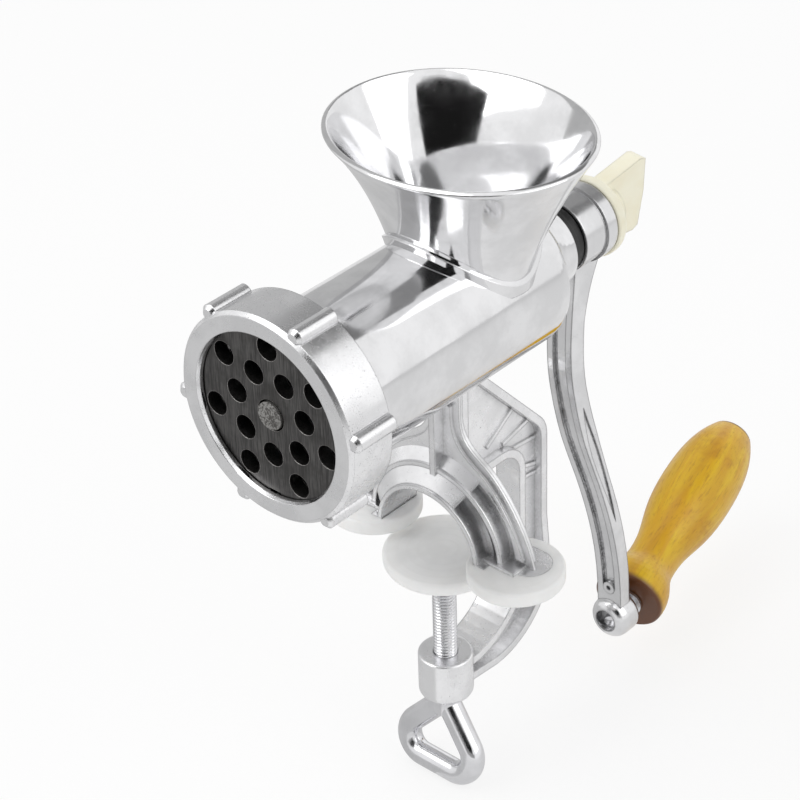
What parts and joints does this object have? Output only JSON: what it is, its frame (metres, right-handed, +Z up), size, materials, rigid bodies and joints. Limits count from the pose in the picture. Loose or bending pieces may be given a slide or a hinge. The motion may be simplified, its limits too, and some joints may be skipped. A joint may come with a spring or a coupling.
{
  "type": "hand crank meat grinder",
  "caption": "Hand crank meat grinder: hopper on a horizontal barrel, cutting plate under a ring nut, cranked auger, and a screw clamp for a table edge.",
  "frame": {"origin": "centre of the table face under the jaw, on the clamp screw's axis", "axes": "+Y back to the crank, +X to the right seen from the cutting plate, +Z up"},
  "size_m": [0.091, 0.2486, 0.238],
  "materials": {
    "cast_aluminium": "polished, with as-cast recesses",
    "plated_ring": "polished, with speckled edges",
    "plate_steel": "dark, brushed",
    "tool_steel": "ground",
    "zinc_steel": "bright zinc",
    "chrome": "polished",
    "dark_plastic": "matte",
    "nylon": "matte",
    "milky_plastic": "soft, translucent",
    "ivory_plastic": "satin",
    "varnished_wood": "varnished"
  },
  "bodies": {
    "casting": {"barrel": "cast_aluminium", "hopper": "cast_aluminium", "clamp_frame": "cast_aluminium", "clamp_jaw": "cast_aluminium", "cutting_plate": "plate_steel", "locating_pin": "tool_steel", "rear_bush": "nylon", "thrust_washer": "dark_plastic", "jaw_pad_left": "milky_plastic", "jaw_pad_right": "milky_plastic"},
    "ring": {"ring_nut": "plated_ring"},
    "drive": {"auger": "cast_aluminium", "cross_knife": "tool_steel", "crank_arm": "cast_aluminium", "grip_spindle": "zinc_steel", "grip_bolt_head": "chrome", "grip_washer": "zinc_steel"},
    "wing": {"wing_knob": "ivory_plastic", "wing_stud": "zinc_steel"},
    "handle": {"grip": "varnished_wood"},
    "pad": {"pad_cap": "milky_plastic", "pad_disc": "zinc_steel"},
    "screw": {"clamp_screw": "zinc_steel", "screw_bow": "zinc_steel"}
  },
  "joints": [
    {"name": "crank_turn", "type": "hinge", "parent": "casting", "child": "drive", "pos_m": [0, 0, 0.0875], "axis": [0, 1, 0], "continuous": true},
    {"name": "grip_spin", "type": "hinge", "parent": "drive", "child": "handle", "pos_m": [0.01356, 0.0754, -0.06796], "axis": [-0.2046, 0.9624, 0.1788], "continuous": true},
    {"name": "ring_nut_turn", "type": "hinge", "parent": "casting", "child": "ring", "pos_m": [0, 0, 0.0875], "axis": [0, -1, 0], "range_deg": [0, 1080]},
    {"name": "wing_knob_turn", "type": "hinge", "parent": "drive", "child": "wing", "pos_m": [0, 0, 0.0875], "axis": [0, 1, 0], "range_deg": [0, 1440]},
    {"name": "pad_travel", "type": "slide", "parent": "casting", "child": "pad", "axis": [0, 0, 1], "range_m": [-0.034, 0]},
    {"name": "screw_turn", "type": "hinge", "parent": "pad", "child": "screw", "pos_m": [0, 0, 0], "axis": [0, 0, 1], "range_deg": [-9800, 0]}
  ],
  "couplings": [
    {"joint": "screw_turn", "follows": "pad_travel", "rad_per_m": 5026.5}
  ]
}
